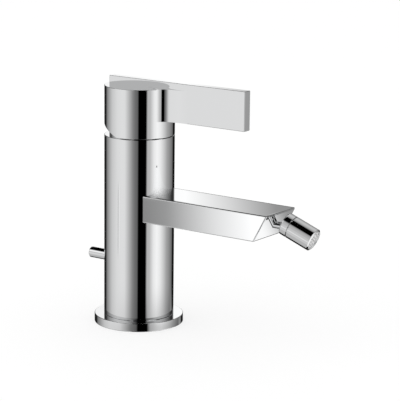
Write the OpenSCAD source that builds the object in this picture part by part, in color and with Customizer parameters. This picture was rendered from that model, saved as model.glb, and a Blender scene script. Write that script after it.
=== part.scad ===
// Single-lever bidet mixer with a flat spout and a swivelling nozzle.
// X runs forward along the spout, Z up. The origin is the middle of the
// flange's underside, where the mixer stands on its deck.

/* [Column] */
// Wall of the column round the cartridge
chamber_wall = 5; // [4.6:0.1:7]
// Height of the column above the flange
body_h = 117.7; // [112:0.1:130]
// Wall of the column round the water core
body_wall = 3.4; // [2.6:0.1:3.8]
// Rounding of the turned edges
edge_r = 0.4; // [0.2:0.1:0.6]

/* [Base] */
// Diameter of the flange that stands on the deck
flange_d = 57.5; // [54:0.5:66]
// Height of the flange
flange_h = 5.5; // [5:0.5:9]
// Diameter of the recess that takes the hose ends and the stud
recess_d = 30; // [29:0.5:32]
// Height of the lip that centres the column on the flange
lip_h = 1.5; // [1:0.1:2.5]
// Wall of that lip
lip_wall = 1.8; // [1:0.1:2.2]
// Width of the flat seal under the flange
seal_w = 3.5; // [2.5:0.5:4.5]
// Thickness of that seal
seal_t = 1.6; // [1:0.1:2.5]
// Distance of the seal from the flange's rim
seal_inset = 2.5; // [2:0.5:4]

/* [Water ways] */
// Distance of each inlet from the middle plane
inlet_y = 8; // [7.8:0.1:8.6]
// Distance of the inlets in front of the axis
inlet_x = 4; // [3:0.5:4.5]
// Diameter of the inlet ways
inlet_d = 6.4; // [5:0.2:6.8]
// Tapping bore of an inlet, M10 by 1
inlet_tap_d = 9; // [8.9:0.1:9.2]
// Depth of that thread
inlet_tap_depth = 12; // [8:1:16]
// Distance of the outlet way behind the axis
outlet_back = 8; // [7:0.5:8.5]
// Diameter of the outlet way
outlet_d = 7; // [5:0.5:7]
// Tapping bore for the fixing stud, M8
stud_tap_d = 6.8; // [6.6:0.1:7]
// Depth of the stud's thread
stud_depth = 16; // [12:1:24]
// Web between the stud's thread and the rod's channel
channel_web = 1.8; // [1.3:0.1:2.3]
// Thickness of the rings that seal the core in the column
core_ring_d = 2; // [1.6:0.1:2.4]
// Distance of those rings from the level of the spout's middle
core_ring_offset = 10; // [9.6:0.1:10.4]

/* [Spout] */
// Distance of the spout's middle below the column's top
spout_drop = 44.25; // [40:0.25:45]
// Reach of the spout's upper edge from the column's axis
spout_reach = 108.4; // [80:0.5:150]
// Distance by which its lower edge stands back
spout_cutback = 8.9; // [6:0.1:12]
// Width of the spout
spout_w = 33; // [28:0.5:40]
// Height of the spout
spout_h = 16.5; // [15.5:0.5:19]
// Wall of the spout's long sides
spout_wall = 2; // [1.5:0.1:2.5]
// Wall at the spout's root and at its slanted end
spout_end_wall = 4; // [3:0.5:6]
// Rounding of the spout's edges
spout_edge_r = 0.5; // [0.3:0.1:1]
// Diameter of the threaded pipe between core and spout
spigot_d = 14; // [13:0.5:14.5]
// Diameter of the way through that pipe
spigot_bore_d = 7.2; // [5:0.2:8]
// Length of its thread in the core
spigot_grip = 6; // [4:0.5:7]
// Thickness of the ring that seals the pipe
spigot_ring_d = 1.6; // [1.4:0.1:1.8]

/* [Nozzle] */
// Diameter of the ball that the nozzle swivels on
ball_d = 10.8; // [10:0.2:11]
// Diameter of the neck behind the ball
neck_d = 5.8; // [5:0.1:6]
// Distance of the ball's middle in front of the spout's end face
ball_reach = 12.6; // [12:0.1:16]
// Diameter of the way through the ball
ball_bore_d = 3.6; // [2:0.2:4]
// Diameter of the neck's thread and shoulder in the spout's end
nipple_d = 8; // [7.6:0.1:8.4]
// Reach of that shoulder in front of the end face
nipple_reach = 3; // [2.4:0.1:3.4]
// Thickness of the sliding rings round the ball
liner_t = 0.5; // [0.4:0.1:0.6]
// Wall of the socket outside the sliding rings
socket_wall = 1.1; // [1:0.1:2]
// Length of the socket ring, back from the middle of the ball
socket_ring_l = 5.4; // [4.8:0.1:5.6]
// Length of the sleeve in front of it
sleeve_l = 16.4; // [14:0.1:24]
// Turn of the resting nozzle towards the far side
rest_turn = 5.8; // [0:0.1:8]
// Droop of the resting nozzle below the level
rest_droop = 22.8; // [0:0.1:23]
// Depth of the jet former in the sleeve's mouth
jet_inset = 1; // [0.5:0.1:2]
// Thickness of the jet former's washer
jet_washer_t = 1; // [0.6:0.1:1.5]
// Diameter of the holes in the jet former
jet_hole_d = 1.3; // [0.8:0.1:1.4]

/* [Cartridge] */
// Diameter of the ceramic cartridge
cartridge_d = 35; // [34:0.2:35]
// Depth of the cartridge's seat below the column's top
seat_depth = 27.2; // [27:0.1:30]
// Thickness of the cartridge's base
base_t = 5; // [4:0.1:5]
// Diameter of its two locating pins
base_pin_d = 3.2; // [2:0.2:3.6]
// Length of those pins
base_pin_l = 3; // [2:0.5:5]
// Thickness of each ceramic disc
disc_t = 3.5; // [2.5:0.1:3.5]
// Room round the moving disc, in which it slides
disc_room = 3.4; // [3.4:0.1:3.9]
// Diameter of the ports through the fixed disc
port_d = 5.6; // [4.5:0.1:5.8]
// Thickness of the carrier on the moving disc
carrier_t = 4.5; // [4.2:0.1:4.5]
// Wall of the cartridge's housing
housing_wall = 1.9; // [1.5:0.1:2]
// Distance of the rotor's neck inside the cartridge's rim
rotor_inset = 6.6; // [6.5:0.1:7.5]
// Thickness of the rotor's foot
rotor_foot_t = 2.2; // [1.6:0.1:2.4]
// Height of the rotor above the lever's pivot
rotor_rise = 5; // [4.5:0.1:5.5]
// Height of the ring nut
nut_h = 4.5; // [3.5:0.1:4.5]
// Step of the ring nut's thread outside the cartridge's rim
nut_step = 1; // [0.7:0.1:1.5]
// Height of the cover collar above the column
collar_h = 3.8; // [3:0.1:4]
// Thickness of the cover collar's top
collar_t = 1.2; // [0.8:0.1:1.6]

/* [Lever] */
// Narrow gap between the column and the lever's cap
lever_gap = 0.4; // [0.3:0.1:0.6]
// Height of the lever's cap
cap_h = 31.4; // [28:0.1:36]
// Wall of the cap
cap_wall = 2; // [1.8:0.1:2.2]
// Thickness of the cap's roof
cap_roof = 4; // [3:0.5:5]
// Reach of the blade from the axis
blade_reach = 82.3; // [60:0.1:110]
// Height of the blade
blade_h = 25.4; // [22:0.1:26]
// Thickness of the blade
blade_t = 6; // [5:0.1:8]
// Height of the blade above the cap
blade_rise = 4.8; // [3:0.1:8]
// Hollow rounding where the blade leaves the cap
blade_fillet_r = 7.5; // [5:0.5:9]
// Rounding of the blade's upright edges
blade_edge_r = 0.8; // [0.4:0.1:1]
// Angle through which the lever lifts
lever_lift = 22; // [18:1:24]
// Slope of the cut that lets the lever lift
relief_angle = 23; // [23:1:26]
// Height of the lever's pivot above the column
pivot_rise = 0.8; // [0.6:0.1:1.2]
// Width of the square spindle
spindle_w = 8.8; // [8:0.1:9]
// Height of the spindle above its pivot
spindle_h = 21; // [19:0.5:24]
// Length of the spindle's tail below its pivot
tail_l = 12.8; // [12.6:0.1:13]
// Diameter of the tail's shank
tail_d = 4; // [3:0.1:4.2]
// Diameter of the ball on the tail
tail_ball_d = 4.6; // [4.2:0.1:4.8]
// Diameter of the pivot pin
pivot_d = 4; // [3:0.1:4.4]
// Diameter of the screw that holds the spindle
handle_screw_d = 5; // [4:0.5:5]
// Length of that screw
handle_screw_l = 6; // [5:0.5:8]
// Diameter of the index plug at the rear
plug_d = 6; // [5.5:0.1:6.4]
// Length of the index plug
plug_l = 7; // [4:0.5:8]

/* [Pull rod] */
// Level of the knob when the rod is down
knob_z = 39.7; // [36:0.1:41]
// Diameter of the knob
knob_d = 7; // [6:0.1:9]
// Distance of the knob's tip from the axis
knob_reach = 39; // [34:0.5:50]
// Diameter of the knob's threaded stem
knob_stem_d = 4; // [3:0.1:4.4]
// Travel of the pull rod
rod_travel = 20; // [14:1:20]
// Diameter of the pull rod
rod_d = 5; // [4:0.5:5]
// Distance of the pull rod inside the core's rim
rod_inset = 7; // [6.8:0.1:7.1]
// Height of the carrier that joins rod and knob
carrier_h = 10; // [8:0.5:11]
// Width of the channel that the carrier slides in
channel_w = 8.8; // [8:0.2:9.6]
// Height of the bush that guides the rod
guide_h = 5; // [4:0.5:8]
// Tapping bore in the rod's lower end, M4
rod_tap_d = 3.3; // [3:0.1:3.4]
// Depth of that thread
rod_tap_depth = 8; // [6:0.5:12]
// Height of the rod's lower end above the deck
rod_foot = 0.8; // [0.5:0.1:2]
// Diameter of the screws that lock the column to the core
lock_screw_d = 4; // [3:0.5:5]
// Length of those screws
lock_screw_l = 5; // [4:0.5:5]
// Height of those screws above the flange
lock_screw_z = 11; // [9:0.5:16]

/* [Hidden] */
// Radial clearance of pieces that are pushed or screwed together
fit_clear = 0.1;
// Clearance of pieces that slide or turn on each other
run_clear = 0.1;
// Wider clearance round pieces that pass each other freely
free_clear = 0.3;
// Gap between the lever's turning pieces and the cover collar
collar_clear = 1.2;
// Overrun of every cut past the face that it opens
over = 1;
// Width and height of the rubber seals round the cartridge's ports
port_seal_w = 1.3;
port_seal_h = 1.6;
// Wall between the ball's cup and the seat of the jet former
cup_wall = 1;
// Spare height of the channel above the raised carrier
channel_spare = 2;
// Distance behind the axis at which the lever's relief cut starts
relief_back = 1;
// Width of a key hole, as a share of its screw's diameter
key_share = 0.55;
// Half width of a rubber ring's groove, as a share of the ring's thickness
groove_share = 0.6;
// Radii of the moving disc's hollow, as shares of its diameter
hollow_shares = [0.26, 0.14];
// Spacing of the jet former's holes, as a share of their diameter
jet_pitch_share = 1.5;
// Steps in a rounded corner, and in a quarter of a ball's outline
CORNER_STEPS = 5;
BALL_STEPS = 10;
$fn = 128;

body_d = cartridge_d + 2 * chamber_wall;
body_r = body_d / 2;
core_bore_r = body_r - body_wall;
core_r = core_bore_r - fit_clear;
column_top = flange_h + body_h;
seat_z = column_top - seat_depth;
spout_z = column_top - spout_drop;
lip_r = core_r;
core_foot_r = lip_r - lip_wall - fit_clear;
seal_r = flange_d / 2 - seal_inset;
spigot_groove_x = body_r + spout_end_wall / 2;

cartridge_r = cartridge_d / 2;
cartridge_bore_r = cartridge_r + fit_clear;
disc_r = cartridge_r - housing_wall - 2 * fit_clear;
moving_disc_d = 2 * (disc_r - disc_room);
rotor_d = cartridge_d - 2 * rotor_inset;
nut_thread_d = cartridge_d + 2 * nut_step;
fixed_disc_z = seat_z + base_t;
moving_disc_z = fixed_disc_z + disc_t;
carrier_z = moving_disc_z + disc_t;
carrier_top = carrier_z + carrier_t;
rotor_z = carrier_top + free_clear;
rotor_neck_z = rotor_z + rotor_foot_t;
housing_z = rotor_neck_z + free_clear;
housing_roof = housing_wall - fit_clear;
nut_z = housing_z + housing_roof;
housing_neck_r = rotor_d / 2 + run_clear + housing_wall;
nut_r = nut_thread_d / 2 - fit_clear;
nut_top = nut_z + nut_h;
nut_notch_shares = [0.72, 0.3];

pivot_z = column_top + pivot_rise;
pivot_r = pivot_d / 2;
half_spindle = spindle_w / 2;
spindle_below = half_spindle + run_clear;
rotor_r = rotor_d / 2;
rotor_top = pivot_z + rotor_rise;
tail_z = pivot_z - tail_l;
tail_swing = tail_l * sin(lever_lift);
disc_rest_x = -tail_swing / 2;
window_z = pivot_z - norm([half_spindle, spindle_below]) - free_clear;
window_back = half_spindle / cos(lever_lift) + rotor_rise * tan(lever_lift) + free_clear;
window_front = half_spindle * cos(lever_lift) + spindle_below * sin(lever_lift) + free_clear;

cap_z = column_top + lever_gap;
cap_top = cap_z + cap_h;
cavity_r = body_r - cap_wall;
collar_r = cavity_r - collar_clear;
collar_rise = collar_h - pivot_rise + 2 * free_clear;
cavity_rise = max(collar_r * sin(lever_lift) + collar_rise * cos(lever_lift),
                  rotor_r * sin(lever_lift) + (rotor_rise + free_clear) * cos(lever_lift));
cavity_top = pivot_z + cavity_rise;
blade_top = cap_top + blade_rise;
blade_z = blade_top - blade_h;
hub_r = spindle_w;
web_t = blade_t + cap_wall;
pocket_r = cavity_r - cap_wall / 2;
handle_screw_z = cavity_top + handle_screw_d;
plug_back = sqrt(pow(body_r, 2) - pow(plug_d / 2, 2));

slant = atan(spout_cutback / spout_h);
end_x = spout_reach - spout_cutback / 2;
ball_pos = [end_x + ball_reach, 0, spout_z];
ball_r = ball_d / 2;
liner_in_r = ball_r + run_clear;
liner_out_r = liner_in_r + liner_t;
socket_in_r = liner_out_r + run_clear;
socket_r = socket_in_r + socket_wall;
// Angles from the ball's equator: the socket ring's mouth and its other end,
// the sleeve's rear end and its way out
MOUTH_ANGLE = -32;
RING_ANGLE = -15;
SEAM_ANGLE = -14;
WAY_ANGLE = 62;
// The same for both ends of each sliding ring
FRONT_RING = [20, 46];
REAR_RING = [-29, -16];
// Furthest tilt of the nozzle from the neck, which the socket's mouth allows
TILT_ANGLE = 25;
seam_s = socket_in_r * sin(SEAM_ANGLE);
sleeve_lip_r = socket_in_r + socket_wall / 2;
sleeve_way_r = socket_in_r * cos(WAY_ANGLE);
skirt_r = (neck_d / 2 + free_clear / 2) / cos(TILT_ANGLE) + socket_ring_l * tan(TILT_ANGLE);
jet_seat_s = socket_r + cup_wall;
jet_r = socket_r - socket_wall;
jet_z = jet_seat_s + jet_washer_t;
jet_end = sleeve_l - jet_inset;
jet_t = jet_hole_d;

rod_r = rod_d / 2;
rod_back = core_r - rod_inset;
channel_front = rod_back - rod_r - free_clear;
stud_back = channel_front - channel_web - stud_tap_d / 2;
channel_top = knob_z + rod_travel + carrier_h / 2 + channel_spare;
carrier_w = channel_w - 2 * fit_clear;
carrier_front = channel_front + fit_clear;
knob_stem_end = rod_back + rod_r;
slot_w = knob_stem_d + 2 * fit_clear + free_clear;
LOCK_ANGLES = [145, -145];

port_places = [[inlet_x, inlet_y], [inlet_x, -inlet_y], [-outlet_back, 0]];
pin_places = [[-inlet_x, inlet_y + inlet_x / 2], [-inlet_x, -inlet_y - inlet_x / 2]];

// Points of an arc of radius r about a centre, from one angle to another
function arc(centre, r, from, to, steps = CORNER_STEPS) =
    [for (i = [0:steps]) let (a = from + (to - from) * i / steps) centre + r * [cos(a), sin(a)]];

// Upright turned solid whose two rims are rounded
module turned(r, from, to, low_r = edge_r, high_r = edge_r) {
    rotate_extrude()
        polygon(concat([[0, from]],
                       arc([r - low_r, from + low_r], low_r, -90, 0),
                       arc([r - high_r, to - high_r], high_r, 0, 90),
                       [[0, to]]));
}

// Upright hole or plug between two levels
module bore(r, from, to) {
    translate([0, 0, from]) cylinder(r = r, h = to - from);
}

// Upright ring between two radii and two levels
module ring(r_in, r_out, from, to) {
    difference() {
        bore(r_out, from, to);
        bore(r_in, from - over, to + over);
    }
}

// Round cord ring lying level, at a radius and a level
module o_ring(r, z, thickness) {
    translate([0, 0, z]) rotate_extrude() translate([r, 0]) circle(d = thickness, $fn = 32);
}

// Rectangle with rounded corners, centred
module rounded_rectangle(size, r) {
    x = size[0] / 2 - r;
    y = size[1] / 2 - r;
    polygon(concat(arc([x, y], r, 0, 90), arc([-x, y], r, 90, 180),
                   arc([-x, -y], r, 180, 270), arc([x, -y], r, 270, 360)));
}

// Children laid along X, out of the upright
module along_x() {
    rotate([0, 90, 0]) children();
}

// Children on the ball, with Z along the nozzle once it has turned and drooped
module in_nozzle(droop = rest_droop) {
    translate(ball_pos) rotate([0, 0, rest_turn]) rotate([0, 90 + droop, 0]) children();
}

// Outline of a zone of a hollow ball, for turning about its axis
module zone_outline(r_in, r_out, angles) {
    polygon(concat(arc([0, 0], r_out, angles[0], angles[1], BALL_STEPS),
                   arc([0, 0], r_in, angles[1], angles[0], BALL_STEPS)));
}

// Turned brass flange with a lip that centres the column
module base_flange() {
    color("gainsboro") difference() {
        union() {
            turned(flange_d / 2, 0, flange_h);
            bore(lip_r, flange_h - over, flange_h + lip_h);
        }
        bore(recess_d / 2, -over, flange_h + lip_h + over);
        bore(lip_r - lip_wall, flange_h, flange_h + lip_h + over);
        ring(seal_r - seal_w, seal_r, -over, seal_t);
    }
}

// Flat rubber seal in the flange's underside
module base_seal() {
    color("dimgray") ring(seal_r - seal_w + fit_clear, seal_r - fit_clear, 0, seal_t);
}

// Column tube: bore for the core, chamber for the cartridge, thread for the nut
module body_column() {
    slot_bottom = knob_z - slot_w / 2;
    slot_l = rod_travel + slot_w;
    color("gainsboro") difference() {
        turned(body_r, flange_h, column_top);
        bore(core_bore_r, flange_h - over, seat_z);
        bore(cartridge_bore_r, seat_z - over, nut_z + over);
        bore(nut_thread_d / 2, nut_z, column_top + over);
        translate([0, 0, spout_z]) along_x() bore(spigot_d / 2 + fit_clear, 0, body_r + over);
        translate([-body_r, 0, slot_bottom + slot_l / 2]) rotate([0, 90, 0])
            linear_extrude(2 * body_wall + over, center = true)
                rounded_rectangle([slot_l, slot_w], slot_w / 2 - fit_clear);
        for (a = LOCK_ANGLES) rotate([0, 0, a]) translate([0, 0, flange_h + lock_screw_z])
            along_x() bore(lock_screw_d / 2 + fit_clear, core_r / 2, body_r + over);
    }
}

// Cast brass core with two inlet ways, the outlet way and the rod's channel
module water_core() {
    color("goldenrod") difference() {
        bore(core_r, flange_h, seat_z);
        ring(core_foot_r, core_r + over, flange_h - over, flange_h + lip_h + fit_clear);
        for (y = [-inlet_y, inlet_y]) translate([inlet_x, y, 0]) {
            bore(inlet_d / 2, flange_h - over, seat_z + over);
            bore(inlet_tap_d / 2, flange_h - over, flange_h + inlet_tap_depth);
        }
        translate([-stud_back, 0, 0]) bore(stud_tap_d / 2, flange_h - over, flange_h + stud_depth);
        translate([-outlet_back, 0, 0]) bore(outlet_d / 2, spout_z, seat_z + over);
        translate([0, 0, spout_z]) along_x() {
            bore(outlet_d / 2, -outlet_back, core_r);
            bore(spigot_d / 2 + fit_clear, core_r - spigot_grip, core_r + over);
        }
        translate([-core_r - over, -channel_w / 2, flange_h - over])
            cube([core_r + over - channel_front, channel_w, channel_top - flange_h + over]);
        for (z = [-core_ring_offset, core_ring_offset])
            ring(core_bore_r - core_ring_d, core_r + over,
                 spout_z + z - core_ring_d * groove_share, spout_z + z + core_ring_d * groove_share);
        for (p = pin_places) translate(p) bore(base_pin_d / 2 + fit_clear,
                                               seat_z - base_pin_l - free_clear, seat_z + over);
        for (a = LOCK_ANGLES) rotate([0, 0, a]) translate([0, 0, flange_h + lock_screw_z])
            along_x() bore(lock_screw_d / 2 + fit_clear, body_r - lock_screw_l - free_clear, core_r + over);
    }
}

// Two rubber rings that seal the core above and below the spout's hole
module core_o_rings() {
    r = core_bore_r - core_ring_d / 2 - fit_clear / 2;
    color("dimgray") for (z = [-core_ring_offset, core_ring_offset])
        o_ring(r, spout_z + z, core_ring_d - fit_clear);
}

// Two headless screws that lock the column to the core
module column_grub_screws() {
    color("silver") for (a = LOCK_ANGLES) rotate([0, 0, a]) translate([0, 0, flange_h + lock_screw_z])
        along_x() headless_screw(lock_screw_d, body_r - lock_screw_l, body_r - 2 * edge_r);
}

// Headless screw with a six-sided key hole in its outer end
module headless_screw(d, from, to) {
    difference() {
        bore(d / 2, from, to);
        translate([0, 0, to - d / 2]) cylinder(d = d * key_share, h = d / 2 + over, $fn = 6);
    }
}

// Flat spout, hollow inside, seated on the column and cut at a slant
module spout() {
    low = spout_z - spout_h / 2;
    high = spout_z + spout_h / 2;
    low_end = spout_reach - spout_cutback;
    color("gainsboro") difference() {
        intersection() {
            translate([0, 0, spout_z]) along_x() linear_extrude(spout_reach + over)
                rounded_rectangle([spout_h, spout_w], spout_edge_r);
            rotate([90, 0, 0]) linear_extrude(spout_w + over, center = true)
                polygon(concat([[0, low - over]], spout_tip(low_end, low, high), [[0, high + over]]));
        }
        bore(body_r, low - over, high + over);
        spout_hollow();
        translate([0, 0, spout_z]) along_x()
            bore(spigot_d / 2 + fit_clear, 0, body_r + spout_end_wall + over);
        translate([0, 0, spout_z]) along_x() bore(nipple_d / 2 + fit_clear / 2, body_r + over, spout_reach);
    }
}

// Points of the spout's slanted end, with both edges rounded
function spout_tip(low_end, low, high) =
    let (r = spout_edge_r, d = r * tan(45 + slant / 2), u = r * tan(45 - slant / 2))
    concat([[low_end - u, low - over]],
           arc([low_end - u, low + r], r, -90, -slant),
           arc([spout_reach - d, high - r], r, -slant, 90),
           [[spout_reach - d, high + over]]);

// Water space in the spout
module spout_hollow() {
    from = body_r + spout_end_wall;
    low_end = spout_reach - spout_cutback - spout_end_wall / cos(slant);
    h = spout_h / 2 - spout_wall;
    dx = h * tan(slant);
    mid = low_end + spout_cutback / 2;
    rotate([90, 0, 0]) linear_extrude(spout_w - 2 * spout_wall, center = true)
        polygon([[from, spout_z - h], [mid - dx, spout_z - h],
                 [mid + dx, spout_z + h], [from, spout_z + h]]);
}

// Threaded pipe that holds the spout on the core and carries the water
module spout_spigot() {
    color("goldenrod") translate([0, 0, spout_z]) along_x() difference() {
        bore(spigot_d / 2, core_r - spigot_grip, body_r + spout_end_wall);
        bore(spigot_bore_d / 2, 0, body_r + spout_end_wall + over);
        ring(spigot_d / 2 - spigot_ring_d, spigot_d, spigot_groove_x - spigot_ring_d * groove_share,
             spigot_groove_x + spigot_ring_d * groove_share);
    }
}

// Rubber ring in the pipe's groove
module spigot_o_ring() {
    color("dimgray") translate([0, 0, spout_z]) along_x()
        o_ring(spigot_d / 2 - spigot_ring_d / 2, spigot_groove_x, spigot_ring_d - fit_clear);
}

// Plastic base of the cartridge, with three ports and two locating pins
module cartridge_base() {
    color("ivory") difference() {
        union() {
            bore(cartridge_r, seat_z, fixed_disc_z);
            for (p = pin_places) translate(p) bore(base_pin_d / 2, seat_z - base_pin_l, seat_z + over);
        }
        for (p = port_places) translate(p) {
            bore(port_d / 2, seat_z - over, fixed_disc_z + over);
            bore(port_d / 2 + port_seal_w, seat_z - over, seat_z + port_seal_h);
        }
    }
}

// Rubber seals between the cartridge and the core's three ways
module port_seals() {
    color("dimgray") for (p = port_places) translate(p)
        ring(port_d / 2 + fit_clear, port_d / 2 + port_seal_w - fit_clear, seat_z, seat_z + port_seal_h);
}

// Plastic housing of the cartridge
module cartridge_housing() {
    color("ivory") difference() {
        union() {
            bore(cartridge_r, fixed_disc_z, nut_z);
            bore(housing_neck_r, nut_z - over, nut_top);
        }
        bore(disc_r + fit_clear, fixed_disc_z - over, housing_z);
        bore(rotor_r + run_clear, housing_z - over, nut_top + over);
    }
}

// Fixed ceramic disc with its three ports
module fixed_ceramic_disc() {
    color("white") difference() {
        bore(disc_r, fixed_disc_z, moving_disc_z);
        for (p = port_places) translate(p)
            bore(port_d / 2, fixed_disc_z - over, moving_disc_z + over);
    }
}

// Moving ceramic disc: the hollow under it joins the open ports
module moving_ceramic_disc() {
    wide_r = moving_disc_d * hollow_shares[0];
    narrow_r = moving_disc_d * hollow_shares[1];
    color("white") translate([disc_rest_x, 0, 0]) difference() {
        bore(moving_disc_d / 2, moving_disc_z, carrier_z);
        bore(wide_r, moving_disc_z - over, moving_disc_z + disc_t / 2);
        translate([-wide_r, 0, 0]) bore(narrow_r, moving_disc_z - over, moving_disc_z + disc_t / 2);
    }
}

// Plastic carrier on the moving disc, with the pocket for the spindle's tail
module disc_carrier() {
    pocket_z = tail_z - tail_ball_d / 2 - 2 * fit_clear;
    color("ivory") difference() {
        translate([disc_rest_x, 0, 0]) bore(moving_disc_d / 2, carrier_z, carrier_top);
        bore(tail_ball_d / 2 + free_clear, pocket_z, carrier_top + over);
    }
}

// Plastic rotor: turns with the lever and holds its pivot
module lever_rotor() {
    tail_w = tail_ball_d + 2 * free_clear;
    tail_front = tail_swing + tail_w / 2;
    window_w = spindle_w + free_clear;
    color("lightgray") difference() {
        union() {
            bore(disc_r - fit_clear, rotor_z, rotor_neck_z);
            bore(rotor_r, rotor_neck_z - over, rotor_top);
        }
        translate([-tail_w / 2, -tail_w / 2, rotor_z - over])
            cube([tail_w / 2 + tail_front, tail_w, rotor_top - rotor_z]);
        translate([-window_back, -window_w / 2, window_z])
            cube([window_back + window_front, window_w, rotor_top - window_z + over]);
        translate([0, 0, pivot_z]) rotate([90, 0, 0])
            cylinder(r = pivot_r + fit_clear / 2, h = rotor_d + over, center = true);
    }
}

// Steel pin that the spindle tilts on
module pivot_pin() {
    pin_l = 2 * sqrt(pow(rotor_r, 2) - pow(pivot_r, 2));
    color("silver") translate([0, 0, pivot_z]) rotate([90, 0, 0])
        cylinder(r = pivot_r, h = pin_l, center = true);
}

// Square brass spindle with a ball-ended tail
module spindle() {
    color("goldenrod") difference() {
        union() {
            translate([-half_spindle, -half_spindle, pivot_z - spindle_below])
                cube([spindle_w, spindle_w, spindle_below + spindle_h]);
            bore(tail_d / 2, tail_z, pivot_z);
            translate([0, 0, tail_z]) sphere(d = tail_ball_d, $fn = 48);
        }
        translate([0, 0, pivot_z]) rotate([90, 0, 0])
            cylinder(r = pivot_r + run_clear, h = spindle_w + over, center = true);
    }
}

// Brass ring nut that holds the cartridge down
module cartridge_nut() {
    notch = nut_notch_shares * nut_h;
    color("goldenrod") difference() {
        ring(housing_neck_r + fit_clear, nut_r, nut_z, nut_top);
        for (a = [45:90:315]) rotate([0, 0, a])
            translate([housing_neck_r, -notch[0] / 2, nut_top - notch[1]])
                cube([nut_r, notch[0], notch[1] + over]);
    }
}

// Chromed collar that covers the nut and shows under the lifted cap
module cover_collar() {
    color("gainsboro") difference() {
        union() {
            bore(nut_r, nut_top + fit_clear, column_top + edge_r);
            turned(collar_r, column_top, column_top + collar_h, 0);
        }
        bore(housing_neck_r + 2 * free_clear, nut_top, column_top + collar_h - collar_t);
        bore(rotor_r + 2 * free_clear, nut_top, column_top + collar_h + over);
    }
}

// Lever in one casting: round cap, flat blade and the hub for the spindle
module lever_handle() {
    socket_w = spindle_w + fit_clear;
    color("gainsboro") difference() {
        union() {
            turned(body_r, cap_z, cap_top);
            translate([0, 0, blade_z]) linear_extrude(blade_h) blade_plan();
            translate([0, 0, blade_z]) linear_extrude(cap_top - blade_z) root_fillets();
        }
        bore(cavity_r, cap_z - over, cavity_top);
        translate([0, 0, cavity_top - over]) linear_extrude(cap_top - cap_roof - cavity_top + over)
            casting_pockets();
        lift_relief();
        translate([-socket_w / 2, -socket_w / 2, cavity_top - over])
            cube([socket_w, socket_w, pivot_z + spindle_h + fit_clear - cavity_top + over]);
        translate([0, 0, handle_screw_z]) along_x() {
            bore(handle_screw_d / 2 + fit_clear, -body_r, -half_spindle);
            bore(plug_d / 2 + fit_clear, -body_r - over, -plug_back + plug_l);
        }
    }
}

// Plan of the blade, from the cap's rear to its rounded front edges
module blade_plan() {
    back = sqrt(pow(body_r, 2) - pow(blade_t / 2, 2));
    front = blade_reach - blade_edge_r;
    side = blade_t / 2 - blade_edge_r;
    polygon(concat([[-back, -blade_t / 2]],
                   arc([front, -side], blade_edge_r, -90, 0),
                   arc([front, side], blade_edge_r, 0, 90),
                   [[-back, blade_t / 2]]));
}

// Plan of the two hollow roundings between the cap and the blade
module root_fillets() {
    y = blade_t / 2 + blade_fillet_r;
    reach = body_r + blade_fillet_r;
    x = sqrt(pow(reach, 2) - pow(y, 2));
    for (s = [-1, 1]) difference() {
        polygon([[0, 0], [x, y] * body_r / reach * [[1, 0], [0, s]], [x, s * y], [x, 0]]);
        translate([x, s * y]) circle(r = blade_fillet_r, $fn = 64);
    }
}

// Plan of the hollows that lighten the casting beside its middle web
module casting_pockets() {
    difference() {
        circle(r = pocket_r);
        circle(r = hub_r);
        square([2 * body_r, web_t], center = true);
    }
}

// Wedge cut from the cap's rear so that it clears the column when lifted
module lift_relief() {
    rise = (body_r + over - relief_back) * tan(relief_angle);
    rotate([90, 0, 0]) linear_extrude(body_d + over, center = true)
        polygon([[-relief_back, cap_z], [-relief_back, cap_z - over],
                 [-body_r - over, cap_z - over], [-body_r - over, cap_z + rise]]);
}

// Headless screw that holds the lever on its spindle
module handle_grub_screw() {
    color("silver") translate([0, 0, handle_screw_z]) rotate([0, -90, 0])
        headless_screw(handle_screw_d, half_spindle, half_spindle + handle_screw_l);
}

// Plug that hides the screw
module index_plug() {
    color("gainsboro") translate([0, 0, handle_screw_z]) rotate([0, -90, 0])
        turned(plug_d / 2, plug_back - plug_l + fit_clear, plug_back, 0);
}

// Brass nipple: threaded root in the spout, shoulder, neck and hollow ball
module ball_nipple() {
    root = end_x - spout_end_wall / cos(slant) - nipple_d / 2;
    color("gainsboro") translate([0, 0, spout_z]) along_x() difference() {
        union() {
            bore(nipple_d / 2, root, end_x + nipple_reach);
            bore(neck_d / 2, end_x, ball_pos[0]);
            translate([0, 0, ball_pos[0]]) rotate_extrude()
                polygon(arc([0, 0], ball_r, -90, 90, 2 * BALL_STEPS));
        }
        bore(ball_bore_d / 2, root - over, ball_pos[0] + ball_d);
    }
}

// Front sliding ring: turns from side to side on the ball, and doesn't droop
module ball_seat_ring() {
    color("ivory") in_nozzle(0) rotate_extrude() zone_outline(liner_in_r, liner_out_r, FRONT_RING);
}

// Rear sliding ring: tips up and down on the ball
module ball_retainer() {
    color("ivory") in_nozzle() rotate_extrude() zone_outline(liner_in_r, liner_out_r, REAR_RING);
}

// Ring screwed on the sleeve's rear: its mouth holds the ball, its skirt clears the neck
module socket_ring() {
    color("gainsboro") in_nozzle() rotate_extrude() polygon(concat(
        arc([0, 0], socket_in_r, MOUTH_ANGLE, RING_ANGLE, BALL_STEPS),
        [[sleeve_lip_r + fit_clear / 2, seam_s - fit_clear], [sleeve_lip_r + fit_clear / 2, 0]],
        arc([socket_r - fit_clear, -fit_clear], fit_clear, 90, 0),
        arc([socket_r - edge_r, edge_r - socket_ring_l], edge_r, 0, -90),
        [[skirt_r, -socket_ring_l]]));
}

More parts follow.
